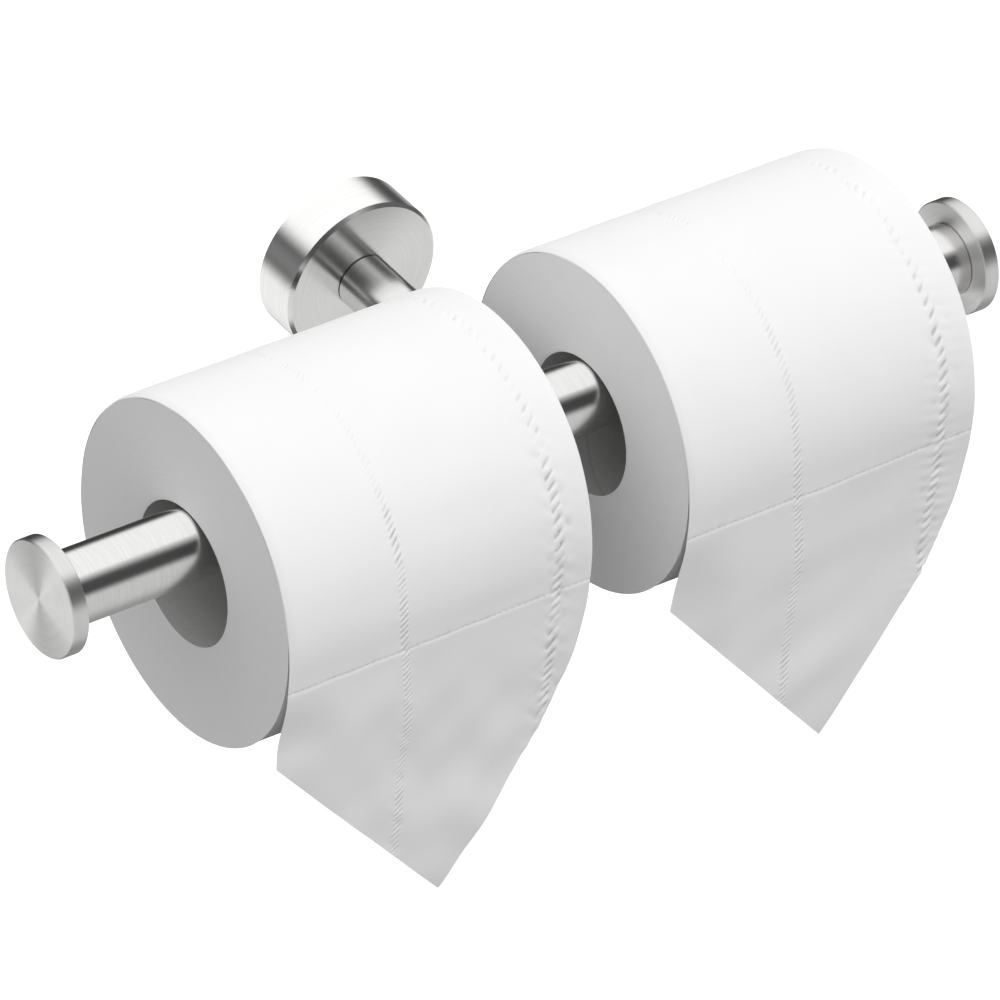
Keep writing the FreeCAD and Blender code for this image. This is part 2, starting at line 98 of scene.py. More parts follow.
def build_turning_lines():
    """Fine lines round a piece's own turning axis, on its side and on its flat faces alike."""
    group, entry, leaving = new_group(
        "Turning lines",
        [
            ("Axis", "NodeSocketVector", (1, 0, 0)),
            ("Centre", "NodeSocketVector", (0, 0, 0)),
            ("Lines per metre", "NodeSocketFloat", 4000.0),
            ("Streak length", "NodeSocketFloat", 2.0),
        ],
        [("Lines", "NodeSocketFloat"), ("Patches", "NodeSocketFloat")],
    )
    nodes, links = group.nodes, group.links
    place = link_node(nodes, "ShaderNodeTexCoord", "place")
    local = link_node(nodes, "ShaderNodeVectorMath", "from centre", operation="SUBTRACT")
    links.new(place.outputs["Object"], local.inputs[0])
    links.new(entry.outputs["Centre"], local.inputs[1])
    along = link_node(nodes, "ShaderNodeVectorMath", "along axis", operation="DOT_PRODUCT")
    links.new(local.outputs[0], along.inputs[0])
    links.new(entry.outputs["Axis"], along.inputs[1])
    axial = link_node(nodes, "ShaderNodeVectorMath", "axial part", operation="SCALE")
    links.new(entry.outputs["Axis"], axial.inputs[0])
    links.new(along.outputs["Value"], axial.inputs["Scale"])
    radial = link_node(nodes, "ShaderNodeVectorMath", "radial part", operation="SUBTRACT")
    links.new(local.outputs[0], radial.inputs[0])
    links.new(axial.outputs[0], radial.inputs[1])
    radius = link_node(nodes, "ShaderNodeVectorMath", "radius", operation="LENGTH")
    links.new(radial.outputs[0], radius.inputs[0])
    compass = link_node(nodes, "ShaderNodeVectorMath", "compass", operation="NORMALIZE")
    links.new(radial.outputs[0], compass.inputs[0])
    round_way = link_node(nodes, "ShaderNodeVectorMath", "way round", operation="SCALE")
    links.new(compass.outputs[0], round_way.inputs[0])
    links.new(entry.outputs["Streak length"], round_way.inputs["Scale"])
    reach = link_node(nodes, "ShaderNodeMath", "reach", operation="ADD")
    links.new(along.outputs["Value"], reach.inputs[0])
    links.new(radius.outputs["Value"], reach.inputs[1])
    count = link_node(nodes, "ShaderNodeMath", "line count", operation="MULTIPLY")
    links.new(reach.outputs[0], count.inputs[0])
    links.new(entry.outputs["Lines per metre"], count.inputs[1])
    stretched = link_node(nodes, "ShaderNodeVectorMath", "stretched", operation="SCALE")
    links.new(entry.outputs["Axis"], stretched.inputs[0])
    links.new(count.outputs[0], stretched.inputs["Scale"])
    spot = link_node(nodes, "ShaderNodeVectorMath", "spot", operation="ADD")
    links.new(stretched.outputs[0], spot.inputs[0])
    links.new(round_way.outputs[0], spot.inputs[1])
    lines = link_node(nodes, "ShaderNodeTexNoise", "lines")
    lines.inputs["Scale"].default_value = 1.0
    lines.inputs["Detail"].default_value = 3.0
    lines.inputs["Roughness"].default_value = 0.65
    links.new(spot.outputs[0], lines.inputs["Vector"])
    contrast = link_node(nodes, "ShaderNodeMapRange", "contrast")
    contrast.inputs["From Min"].default_value = 0.3
    contrast.inputs["From Max"].default_value = 0.7
    links.new(lines.outputs["Fac"], contrast.inputs["Value"])
    links.new(contrast.outputs["Result"], leaving.inputs["Lines"])
    patches = link_node(nodes, "ShaderNodeTexNoise", "patches")
    patches.inputs["Scale"].default_value = 45.0
    patches.inputs["Detail"].default_value = 2.0
    links.new(place.outputs["Object"], patches.inputs["Vector"])
    links.new(patches.outputs["Fac"], leaving.inputs["Patches"])
    return group


turning_lines = build_turning_lines()


def new_material(name):
    """A material with a Principled shader; returns it with its nodes, links and the shader."""
    material = bpy.data.materials.new(name)
    material.use_nodes = True
    nodes, links = material.node_tree.nodes, material.node_tree.links
    return material, nodes, links, nodes["Principled BSDF"]


def ranged(nodes, links, source, low, high, out_low, out_high):
    """Maps a value from one range to another and returns the new socket."""
    node = nodes.new("ShaderNodeMapRange")
    node.inputs["From Min"].default_value = low
    node.inputs["From Max"].default_value = high
    node.inputs["To Min"].default_value = out_low
    node.inputs["To Max"].default_value = out_high
    links.new(source, node.inputs["Value"])
    return node.outputs["Result"]


def blended(nodes, links, factor, first, second):
    """Mixes two colours by a mask and returns the colour socket."""
    node = nodes.new("ShaderNodeMix")
    node.data_type = "RGBA"
    node.inputs["A"].default_value = (*first, 1)
    node.inputs["B"].default_value = (*second, 1)
    links.new(factor, node.inputs["Factor"])
    return node.outputs["Result"]


def turned_steel(
    name, axis, centre, dark, light, rough, anisotropy, lines=1300, depth=0.000012, streak=0.8
):
    """Steel whose fine marks run round an axis, as a lathe or a brushing belt leaves them.

    dark and light are the tones of the marks, lines their number per metre and depth their
    height; streak is how much they change in one turn.
    """
    material, nodes, links, shader = new_material(name)
    marks = nodes.new("ShaderNodeGroup")
    marks.node_tree = turning_lines
    marks.inputs["Axis"].default_value = axis
    marks.inputs["Centre"].default_value = centre
    marks.inputs["Lines per metre"].default_value = lines
    marks.inputs["Streak length"].default_value = streak
    shader.inputs["Metallic"].default_value = 1.0
    shader.inputs["Anisotropic"].default_value = anisotropy
    shader.inputs["Anisotropic Rotation"].default_value = 0.25
    tone = blended(nodes, links, marks.outputs["Lines"], dark, light)
    links.new(tone, shader.inputs["Base Color"])
    links.new(
        ranged(nodes, links, marks.outputs["Patches"], 0.3, 0.7, rough - 0.01, rough + 0.02),
        shader.inputs["Roughness"],
    )
    grain = nodes.new("ShaderNodeBump")
    grain.inputs["Strength"].default_value = 0.09
    grain.inputs["Distance"].default_value = depth
    links.new(marks.outputs["Lines"], grain.inputs["Height"])
    links.new(grain.outputs["Normal"], shader.inputs["Normal"])
    tangent = nodes.new("ShaderNodeTangent")
    tangent.direction_type = "RADIAL"
    tangent.axis = "X" if axis[0] else "Y"
    links.new(tangent.outputs["Tangent"], shader.inputs["Tangent"])
    return material


def paint(node_name, material):
    """Gives a CAD node its finished material."""
    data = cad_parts[node_name].data
    data.materials.clear()
    data.materials.append(material)


Y_AXIS = (0, 1, 0)
wall_centre = (0, 0, 0)
machined_steel = turned_steel(
    "machined_steel", Y_AXIS, wall_centre, (0.36, 0.36, 0.36), (0.52, 0.52, 0.51), 0.36, 0.5,
    lines=1400, depth=0.00003, streak=2.0
)
paint("wall_bracket", machined_steel)

# ---------------------------------------------------------------------------------------------
# Screws: rolled, zinc-grey steel. Two pan-head screws hold the bracket, an M4 grub screw locks
# the rosette from below, and a long M6 tie screw with its washer pulls rosette, post and
# crossbar together.


def screw_steel():
    """Plain rolled steel with a faint cloudiness."""
    material, nodes, links, shader = new_material("rolled_steel")
    place = nodes.new("ShaderNodeTexCoord")
    cloud = nodes.new("ShaderNodeTexNoise")
    cloud.inputs["Scale"].default_value = 600
    cloud.inputs["Detail"].default_value = 4
    links.new(place.outputs["Object"], cloud.inputs["Vector"])
    tone = blended(nodes, links, cloud.outputs["Fac"], (0.38, 0.38, 0.39), (0.56, 0.56, 0.55))
    links.new(tone, shader.inputs["Base Color"])
    rough = ranged(nodes, links, cloud.outputs["Fac"], 0.3, 0.7, 0.28, 0.42)
    links.new(rough, shader.inputs["Roughness"])
    shader.inputs["Metallic"].default_value = 1.0
    return material


rolled_steel = screw_steel()
for fastener in ("bracket_screws", "grub_screw", "tie_screw", "tie_washer"):
    paint(fastener, rolled_steel)

# ---------------------------------------------------------------------------------------------
# Rosette: a round cover turned from stainless bar, 50 mm across, brushed in circles on side and
# face. A small hole underneath takes the grub screw; the tie screw's hole is hidden by the post.

# Painted light: this steel is given a lighter tone than the bar, post and caps, which are the same
# stainless, so the rosette's face and side come out brighter.
rosette_steel_painted_lighter = turned_steel(
    "rosette_steel_painted_lighter", Y_AXIS, wall_centre, (0.86, 0.857, 0.85), (0.91, 0.907, 0.90), 0.20, 0.75
)
paint("rosette", rosette_steel_painted_lighter)

# ---------------------------------------------------------------------------------------------
# Post: a stainless tube between the rosette and the crossbar, its front end coped round the bar.
# A thin black washer sits in the joint at its foot and shows as a fine dark line.


def black_plastic():
    """Matt black moulded plastic."""
    material, nodes, links, shader = new_material("black_washer_plastic")
    place = nodes.new("ShaderNodeTexCoord")
    speck = nodes.new("ShaderNodeTexNoise")
    speck.inputs["Scale"].default_value = 2500
    links.new(place.outputs["Object"], speck.inputs["Vector"])
    tone = blended(nodes, links, speck.outputs["Fac"], (0.012, 0.012, 0.012), (0.035, 0.035, 0.035))
    links.new(tone, shader.inputs["Base Color"])
    rough = ranged(nodes, links, speck.outputs["Fac"], 0.3, 0.7, 0.5, 0.7)
    links.new(rough, shader.inputs["Roughness"])
    return material


washer_black = black_plastic()
brushed_post = turned_steel(
    "brushed_post", Y_AXIS, wall_centre, (0.75, 0.747, 0.74), (0.81, 0.806, 0.80), 0.20, 0.6
)
paint("post", brushed_post)
paint("post_washer", washer_black)

# ---------------------------------------------------------------------------------------------
# Crossbar: a 21.3 mm stainless tube across the front of the post, brushed round and round, with a
# threaded steel saddle nut inside that the tie screw pulls on.

X_AXIS = (1, 0, 0)
bar_low, bar_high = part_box("crossbar")
bar_centre = (0, (bar_low.y + bar_high.y) / 2, (bar_low.z + bar_high.z) / 2)
brushed_bar = turned_steel(
    "brushed_bar", X_AXIS, bar_centre, (0.73, 0.727, 0.72), (0.79, 0.786, 0.78), 0.20, 0.6
)
paint("crossbar", brushed_bar)
paint("bar_nut", rolled_steel)

# ---------------------------------------------------------------------------------------------
# End caps: stainless discs 34 mm across, faced on a lathe so that light fans out from the centre,
# each with a spigot pressed into the crossbar and a thin black washer behind the disc.


def lathe(name, profile, place_point, body, node_name, material, segments=192):
    """Spins a closed profile of (radius, height) pairs; place_point lays a point in the frame."""
    mesh = bmesh.new()
    rings = []
    for step in range(segments):
        angle = 2 * math.pi * step / segments
        rings.append([
            mesh.verts.new(place_point(radius * math.cos(angle), radius * math.sin(angle), height))
            for radius, height in profile
        ])
    count = len(profile)
    for step in range(segments):
        ring, following = rings[step], rings[(step + 1) % segments]
        for index in range(count):
            after = (index + 1) % count
            if profile[index][0] == 0 and profile[after][0] == 0:
                continue
            mesh.faces.new((ring[index], ring[after], following[after], following[index]))
    bmesh.ops.remove_doubles(mesh, verts=mesh.verts, dist=1e-7)
    bmesh.ops.recalc_face_normals(mesh, faces=mesh.faces)
    data = bpy.data.meshes.new(name)
    mesh.to_mesh(data)
    mesh.free()
    for face in data.polygons:
        face.use_smooth = True
    data.set_sharp_from_angle(angle=math.radians(40))
    piece = bpy.data.objects.new(name, data)
    bpy.context.scene.collection.objects.link(piece)
    data.materials.append(material)
    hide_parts(node_name)
    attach(piece, body)
    return piece


def rounded(corners, radius, steps=4):
    """Softens the corners of a closed profile; a corner is (radius, height, soft or not)."""
    points = []
    count = len(corners)
    for index, (x, y, soft) in enumerate(corners):
        if not soft:
            points.append((x, y))
            continue
        here = Vector((x, y))
        before = Vector(corners[index - 1][:2]) - here
        after = Vector(corners[(index + 1) % count][:2]) - here
        half = before.angle(after) / 2
        reach = radius / math.tan(half)
        inward = (before.normalized() + after.normalized()).normalized()
        centre = here + inward * radius / math.sin(half)
        start = here + before.normalized() * reach - centre
        sweep = math.pi - 2 * half
        turn = 1 if start.x * after.y - start.y * after.x > 0 else -1
        for step in range(steps + 1):
            angle = turn * sweep * step / steps
            spoke = Matrix.Rotation(angle, 2) @ start
            points.append((centre.x + spoke.x, centre.y + spoke.y))
    return points


cap_low, cap_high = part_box("right_end_cap")
disc_radius = (cap_high.z - cap_low.z) / 2
disc_thickness = 0.005
disc_bevel = 0.0004
spigot_radius = 0.0094
turned_cap = turned_steel(
    "turned_cap", X_AXIS, bar_centre, (0.77, 0.767, 0.76), (0.83, 0.826, 0.82), 0.42, 0.95
)
cap_length = cap_high.x - cap_low.x
disc_back = cap_length - disc_thickness
cap_profile = rounded([
    (0, 0, False),
    (spigot_radius, 0, True),
    (spigot_radius, disc_back, False),
    (disc_radius - disc_bevel, disc_back, True),
    (disc_radius, disc_back + disc_bevel, True),
    (disc_radius, cap_length - disc_bevel, True),
    (disc_radius - disc_bevel, cap_length, True),
    (0, cap_length, False),
], 0.0002)
for side, way in (("left", -1), ("right", 1)):
    inner_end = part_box(side + "_end_cap")[0 if way > 0 else 1].x
    lathe(
        side + "_cap_disc", cap_profile,
        lambda x, y, z: (inner_end + way * z, bar_centre[1] + x, bar_centre[2] + y),
        "holder", side + "_end_cap", turned_cap
    )
    paint(side + "_cap_washer", washer_black)

# ---------------------------------------------------------------------------------------------
# Roll cores: tubes of thin board wound from two strips, so a faint seam runs round the inside as a
# spiral. The cut ends lie flush with the roll's faces and are as pale as the paper.


def build_spiral_seam():
    """The seam of a tube wound from strip: a thin mask that climbs like a thread round X."""
    group, entry, leaving = new_group(
        "Spiral seam",
        [("Centre", "NodeSocketVector", (0, 0, 0)), ("Pitch", "NodeSocketFloat", 0.06)],
        [("Seam", "NodeSocketFloat")],
    )
    nodes, links = group.nodes, group.links
    place = link_node(nodes, "ShaderNodeTexCoord", "place")
    local = link_node(nodes, "ShaderNodeVectorMath", "from centre", operation="SUBTRACT")
    links.new(place.outputs["Object"], local.inputs[0])
    links.new(entry.outputs["Centre"], local.inputs[1])
    parts = link_node(nodes, "ShaderNodeSeparateXYZ", "parts")
    links.new(local.outputs[0], parts.inputs["Vector"])
    angle = link_node(nodes, "ShaderNodeMath", "angle", operation="ARCTAN2")
    links.new(parts.outputs["Y"], angle.inputs[0])
    links.new(parts.outputs["Z"], angle.inputs[1])
    turn = link_node(nodes, "ShaderNodeMath", "share of a turn", operation="DIVIDE")
    links.new(angle.outputs[0], turn.inputs[0])
    turn.inputs[1].default_value = 2 * math.pi
    climb = link_node(nodes, "ShaderNodeMath", "climb", operation="DIVIDE")
    links.new(parts.outputs["X"], climb.inputs[0])
    links.new(entry.outputs["Pitch"], climb.inputs[1])
    total = link_node(nodes, "ShaderNodeMath", "total", operation="ADD")
    links.new(turn.outputs[0], total.inputs[0])
    links.new(climb.outputs[0], total.inputs[1])
    saw = link_node(nodes, "ShaderNodeMath", "saw", operation="PINGPONG")
    links.new(total.outputs[0], saw.inputs[0])
    saw.inputs[1].default_value = 0.5
    seam = link_node(nodes, "ShaderNodeMapRange", "seam")
    seam.inputs["From Min"].default_value = 0.012
    seam.inputs["From Max"].default_value = 0.004
    links.new(saw.outputs[0], seam.inputs["Value"])
    links.new(seam.outputs["Result"], leaving.inputs["Seam"])
    return group


roll_low, roll_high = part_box("left_paper")
roll_radius = (roll_high.z - roll_low.z) / 2
roll_centre_y = (roll_low.y + roll_high.y) / 2
roll_centre_z = (roll_low.z + roll_high.z) / 2
roll_width = roll_high.x - roll_low.x
core_radius = (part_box("left_core")[1].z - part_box("left_core")[0].z) / 2
core_board_thickness = 0.0008
core_end_gap = 0.00002


def board():
    """Grey-white core board: pale cut ends, greyer inside, soft fibres and the spiral seam."""
    material, nodes, links, shader = new_material("core_board")
    place = nodes.new("ShaderNodeTexCoord")
    fibre = nodes.new("ShaderNodeTexNoise")
    fibre.inputs["Scale"].default_value = 900
    fibre.inputs["Detail"].default_value = 5
    links.new(place.outputs["Object"], fibre.inputs["Vector"])
    inside = blended(nodes, links, fibre.outputs["Fac"], (0.40, 0.40, 0.40), (0.50, 0.50, 0.495))
    seam = nodes.new("ShaderNodeGroup")
    seam.node_tree = build_spiral_seam()
    seam.inputs["Centre"].default_value = (0, roll_centre_y, roll_centre_z)
    seamed = nodes.new("ShaderNodeMix")
    seamed.data_type = "RGBA"
    seamed.inputs["B"].default_value = (0.39, 0.39, 0.385, 1)
    links.new(seam.outputs["Seam"], seamed.inputs["Factor"])
    links.new(inside, seamed.inputs["A"])
    facing = nodes.new("ShaderNodeSeparateXYZ")
    links.new(place.outputs["Normal"], facing.inputs["Vector"])
    endwise = nodes.new("ShaderNodeMath")
    endwise.operation = "ABSOLUTE"
    links.new(facing.outputs["X"], endwise.inputs[0])
    tone = nodes.new("ShaderNodeMix")
    tone.data_type = "RGBA"
    tone.inputs["B"].default_value = (0.88, 0.88, 0.88, 1)
    links.new(ranged(nodes, links, endwise.outputs[0], 0.5, 0.8, 0, 1), tone.inputs["Factor"])
    links.new(seamed.outputs["Result"], tone.inputs["A"])
    links.new(tone.outputs["Result"], shader.inputs["Base Color"])
    shader.inputs["Roughness"].default_value = 0.9
    relief = nodes.new("ShaderNodeBump")
    relief.inputs["Strength"].default_value = 0.3
    relief.inputs["Distance"].default_value = 0.0001
    links.new(fibre.outputs["Fac"], relief.inputs["Height"])
    links.new(relief.outputs["Normal"], shader.inputs["Normal"])
    return material


core_board = board()
core_profile = rounded([
    (core_radius - core_board_thickness, core_end_gap, True),
    (core_radius, core_end_gap, False),
    (core_radius, roll_width - core_end_gap, False),
    (core_radius - core_board_thickness, roll_width - core_end_gap, True),
], 0.00015)
for side in ("left", "right"):
    face_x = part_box(side + "_paper")[0].x
    lathe(
        side + "_core_tube", core_profile,
        lambda x, y, z: (face_x + z, roll_centre_y + x, roll_centre_z + y),
        side + "_roll", side + "_core", core_board
    )

# ---------------------------------------------------------------------------------------------
# Wound paper: many turns of soft white two-ply tissue on each core. The faces show the cut edges of
# the turns as faint rings, and the outer edges are a little soft.

paper_bore = core_radius + 0.00002
paper_edge = 0.0003
tissue_white = (0.905, 0.905, 0.91)
tissue_shade = (0.875, 0.875, 0.88)


def build_tissue_fibres():
    """The soft crepe and loose fibres of tissue: a height and a faint tone."""
    group, entry, leaving = new_group(
        "Tissue fibres",
        [("Crepe lines per metre", "NodeSocketFloat", 1500.0)],
        [("Height", "NodeSocketFloat"), ("Tone", "NodeSocketFloat")],
    )
    nodes, links = group.nodes, group.links
    place = link_node(nodes, "ShaderNodeTexCoord", "place")
    stretch = link_node(nodes, "ShaderNodeVectorMath", "stretch", operation="MULTIPLY")
    stretch.inputs[1].default_value = (0.4, 1.0, 1.0)
    links.new(place.outputs["Object"], stretch.inputs[0])
    crepe = link_node(nodes, "ShaderNodeTexNoise", "crepe")
    crepe.inputs["Detail"].default_value = 3
    links.new(stretch.outputs[0], crepe.inputs["Vector"])
    links.new(entry.outputs["Crepe lines per metre"], crepe.inputs["Scale"])
    soft = link_node(nodes, "ShaderNodeTexNoise", "soft patches")
    soft.inputs["Scale"].default_value = 60
    soft.inputs["Detail"].default_value = 3
    links.new(place.outputs["Object"], soft.inputs["Vector"])
    links.new(crepe.outputs["Fac"], leaving.inputs["Height"])
    links.new(soft.outputs["Fac"], leaving.inputs["Tone"])
    return group


tissue_fibres = build_tissue_fibres()


def tissue(name, ring_strength=0.0):
    """Soft white tissue; ring_strength brings out the cut edges of the turns on a roll's face."""
    material, nodes, links, shader = new_material(name)
    fibres = nodes.new("ShaderNodeGroup")
    fibres.node_tree = tissue_fibres
    tone = blended(nodes, links, fibres.outputs["Tone"], tissue_shade, tissue_white)
    links.new(tone, shader.inputs["Base Color"])
    shader.inputs["Roughness"].default_value = 0.95
    shader.inputs["Specular IOR Level"].default_value = 0.15
    relief = nodes.new("ShaderNodeBump")
    relief.inputs["Strength"].default_value = 0.2
    relief.inputs["Distance"].default_value = 0.00006
    links.new(fibres.outputs["Height"], relief.inputs["Height"])
    normal = relief.outputs["Normal"]
    if ring_strength:
        turns = nodes.new("ShaderNodeGroup")
        turns.node_tree = turning_lines
        turns.inputs["Axis"].default_value = X_AXIS
        turns.inputs["Centre"].default_value = (0, roll_centre_y, roll_centre_z)
        turns.inputs["Lines per metre"].default_value = 1500
        turns.inputs["Streak length"].default_value = 1.2
        rings = nodes.new("ShaderNodeBump")
        rings.inputs["Strength"].default_value = ring_strength
        rings.inputs["Distance"].default_value = 0.0001
        links.new(turns.outputs["Lines"], rings.inputs["Height"])
        links.new(normal, rings.inputs["Normal"])
        normal = rings.outputs["Normal"]
    links.new(normal, shader.inputs["Normal"])
    return material


wound_tissue = tissue("wound_tissue", 0.25)
roll_profile = rounded([
    (paper_bore, 0, False),
    (roll_radius, 0, True),
    (roll_radius, roll_width, True),
    (paper_bore, roll_width, False),
], paper_edge)
for side in ("left", "right"):
    face_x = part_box(side + "_paper")[0].x
    wound_paper = lathe(
        side + "_wound_paper", roll_profile,
        lambda x, y, z: (face_x + z, roll_centre_y + x, roll_centre_z + y),
        side + "_roll", side + "_paper", wound_tissue, 288
    )
    wound_paper.visible_glossy = False

# ---------------------------------------------------------------------------------------------
# Outer sheets: the loose end of each roll, 100 mm wide, lying over the roll and hanging down its
# front, with both corners folded back so that it ends in a point. Perforated lines cross it, and
# two pressed tracks that bond its plies run down its length.

sheet_gap = 0.0005
sheet_radius = roll_radius + sheet_gap
cover_angle = math.radians(205)
arc_length = sheet_radius * cover_angle
fold_corner = 0.0340
tip_across = 0.0590
tip_drop = 0.1010
far_curve_start = 0.0080
far_curve_radius = 0.0950
far_curve_end = 0.0570
perforation_drop = 0.0062
sheet_pitch = 0.0950
near_track = 0.0370
near_track_drift = 0.0047
far_track = 0.0886
near_half_width = 0.0015
far_half_width = 0.0018
near_pitch = 0.0019
far_pitch = 0.0036
near_depth = 0.00032
far_depth = 0.00038
stroke_lean = 0.8
flap_gap = 0.0006
side_round = 0.0004
fine_rows_angle = math.radians(112)
sheet_length = arc_length + tip_drop


def smooth(value, low, high):
    """Rises softly from 0 to 1 as value goes from low to high."""
    share = np.clip((value - low) / (high - low), 0, 1)
    return share * share * (3 - 2 * share)


def wave_field(across, along, seed, waves, shortest, longest):
    """A soft random height made of a few seeded waves, about -1 to 1."""
    chance = np.random.default_rng(seed)
    total = np.zeros_like(across)
    for _ in range(waves):
        length = chance.uniform(shortest, longest)
        angle = chance.uniform(0, math.pi)
        shift = chance.uniform(0, 2 * math.pi)
        reach = across * math.cos(angle) + along * math.sin(angle)
        total += np.sin(2 * math.pi * reach / length + shift)
    return total / waves ** 0.5


def pressed_track(across, along, seed, centre, half_width, pitch, depth):
    """Slanting strokes pressed in a row down the sheet, some deeper than others, as a height."""
    offset = (across - centre) / half_width
    window = np.clip(1 - np.abs(offset) ** 3, 0, 1)
    drift = 0.25 * wave_field(np.zeros_like(along), along, seed, 4, 0.012, 0.030)
    phase = (along + stroke_lean * (across - centre)) / pitch + drift
    stroke = np.sin(2 * math.pi * phase) + 0.35 * np.sin(4 * math.pi * phase + 1.0)
    force = 0.75 + 0.35 * wave_field(across, along, seed + 1, 5, 0.004, 0.012)
    return depth * window * (stroke * np.clip(force, 0.15, 1.3) - 0.15)


def surface_relief(across, along, seed):
    """Height of everything pressed or puckered in the sheet, outward positive."""
    drop = along - arc_length
    shown = 0.30 + 0.70 * smooth(drop, -0.060, -0.020)
    near_path = near_track + near_track_drift * smooth(drop, -0.010, 0.038)
    relief = shown * pressed_track(
        across, along, seed, near_path, near_half_width, near_pitch, near_depth
    )
    relief += shown * pressed_track(
        across, along, seed + 3, far_track, far_half_width, far_pitch, far_depth
    )
    for track, reach, depth in ((near_path, 0.0028, 0.00005), (far_track, 0.0055, 0.00013)):
        beside = np.exp(-((across - track) / reach) ** 2)
        relief += shown * depth * beside * wave_field(across, along, seed + 7, 7, 0.0035, 0.010)
    for line in (perforation_drop, perforation_drop - sheet_pitch):
        wander = 0.00025 * wave_field(across, np.zeros_like(along), seed + 9, 4, 0.012, 0.040)
        below = drop - line - wander
        relief -= 0.00011 * shown * np.exp(-(below / 0.00040) ** 2)
        step_out = smooth(below, 0.0, 0.0014) * np.exp(-np.clip(below, 0, None) / 0.0050)
        relief += 0.00016 * shown * step_out
        near_line = np.exp(-(below / 0.0028) ** 2)
        crinkle = wave_field(across, along * 0.3, seed + 11, 8, 0.0018, 0.006)
        relief += 0.00006 * shown * near_line * crinkle
    return relief


def place_sheet(across, along, seed, behind=0.0):
    """Points of the flat sheet laid over the roll; behind is their depth towards the wall."""
    drop = along - arc_length
    angle = np.clip(-drop / sheet_radius, 0, cover_angle)
    free = smooth(drop, -0.004, 0.045)
    merged = smooth(cover_angle - angle, 0.0, math.radians(35))
    from_side = np.minimum(across, roll_width - across)
    hugging = 1 - smooth(drop, -0.012, 0.004)
    lift = sheet_gap * merged * (1 - hugging * (1 - smooth(from_side, 0.0, 0.0022)) * 0.92)
    relief = surface_relief(across, along, seed) * merged
    relief *= smooth(from_side, 0.0, 0.0010) * 0.8 + 0.2
    relief += 0.00005 * wave_field(across, along, seed + 15, 6, 0.012, 0.035) * hugging * merged
    sway = 0.0008 * free * wave_field(across, along, seed, 5, 0.055, 0.12)
    ripple = 0.00030 * free * wave_field(across, along, seed + 20, 9, 0.016, 0.040)
    tuck = 1 - np.clip(from_side / side_round, 0, 1)
    tucked = side_round * 0.8 * (1 - np.sqrt(1 - tuck ** 2)) * hugging * merged
    edge_curl = 0.0005 * smooth(across, 0.084, 0.100) * smooth(drop, 0.004, 0.040)
    tip_curl = 0.0020 * np.clip((drop - 0.070) / 0.031, 0, 1) ** 2
    corner_curl = 0.0030 * smooth(-across, -0.022, 0.0) * smooth(drop, 0.008, 0.030)
    radius = roll_radius + 0.00004 + lift + relief - tucked
    y = -radius * np.cos(angle) + sway + ripple + edge_curl + tip_curl + corner_curl + behind
    z = radius * np.sin(angle) - np.clip(drop, 0, None)
    return np.stack([across, roll_centre_y + y, roll_centre_z + z], axis=-1)


def sheet_grid():
    """Across and along places of the front layer: finer under the tracks and on the front."""
    places = [0.0]
    while places[-1] < roll_width:
        x = places[-1]
        from_side = min(x, roll_width - x)
        if near_track - 0.0032 < x < near_track + near_track_drift + 0.0018:
            step = 0.00022
        elif abs(x - far_track) < 0.0034:
            step = 0.00034
        elif from_side < side_round:
            step = side_round / 4
        else:
            step = 0.0004 if from_side < 0.002 else 0.0013
        places.append(x + step)
    columns = np.minimum(np.array(places), roll_width)
    back = np.arange(0, arc_length - sheet_radius * fine_rows_angle, 0.0015)
    front = np.linspace(arc_length - sheet_radius * fine_rows_angle, sheet_length, 560)
    rows = np.concatenate([back, front])
    drop = rows - arc_length
    share = np.clip((drop - fold_corner) / (tip_drop - fold_corner), 0, 1)
    left = share * tip_across
    bend = np.clip(drop, far_curve_start, far_curve_end) - far_curve_start
    right = roll_width - far_curve_radius + np.sqrt(far_curve_radius ** 2 - bend ** 2)
    straight = np.clip((drop - far_curve_end) / (tip_drop - far_curve_end), 0, 1)
    right = right + (tip_across - right) * straight
    across = np.clip(columns[None, :], left[:, None], right[:, None])
    return across, np.repeat(rows[:, None], len(columns), axis=1)


def fold_flap(across, along, edge_column, index, first, seed):
    """One corner turned back: rows of points from the fold edge inward, behind the front layer."""
    near_side = edge_column == 0
    edge_from = fold_corner if near_side else far_curve_start
    edge_rows = np.nonzero(along[:, 0] - arc_length >= edge_from)[0][::2]
    edge = np.stack([across[edge_rows, edge_column], along[edge_rows, 0]], -1)
    chord = (edge[-1] - edge[0]) / np.linalg.norm(edge[-1] - edge[0])
    inward = np.array([chord[1], -chord[0]]) * (1 if near_side else -1)
    cut_corner = np.array([0.0 if near_side else roll_width, sheet_length]) - edge[0]
    flap_depth = abs(cut_corner @ inward) * (0.98 if near_side else 0.90)
    run = (edge - edge[0]) @ chord
    foot = cut_corner @ chord
    limit = np.clip(np.minimum(run / foot, (run[-1] - run) / (run[-1] - foot)), 0, 1)
    strips, points, flat = [index[edge_rows, edge_column]], [], []
    steps = 16
    for step in range(1, steps + 1):
        reach = flap_depth * limit * step / steps
        spot = edge + inward * reach[:, None]
        layer = flap_gap * (1 if near_side else 2) * smooth(reach, 0.0, 0.0015)
        layer = layer + (0.0002 if near_side else 0.0010) * np.sin(np.pi * step / steps) * limit
        points.append(place_sheet(spot[:, 0], spot[:, 1], seed, layer))
        flat.append(edge - inward * reach[:, None])
        strips.append(first + (step - 1) * len(edge_rows) + np.arange(len(edge_rows)))
    strips = np.array(strips)
    corners = [strips[:-1, :-1], strips[:-1, 1:], strips[1:, 1:], strips[1:, :-1]]
    quads = np.stack(corners, -1).reshape(-1, 4)
    return np.concatenate(points), np.concatenate(flat), quads if near_side else quads[:, ::-1]


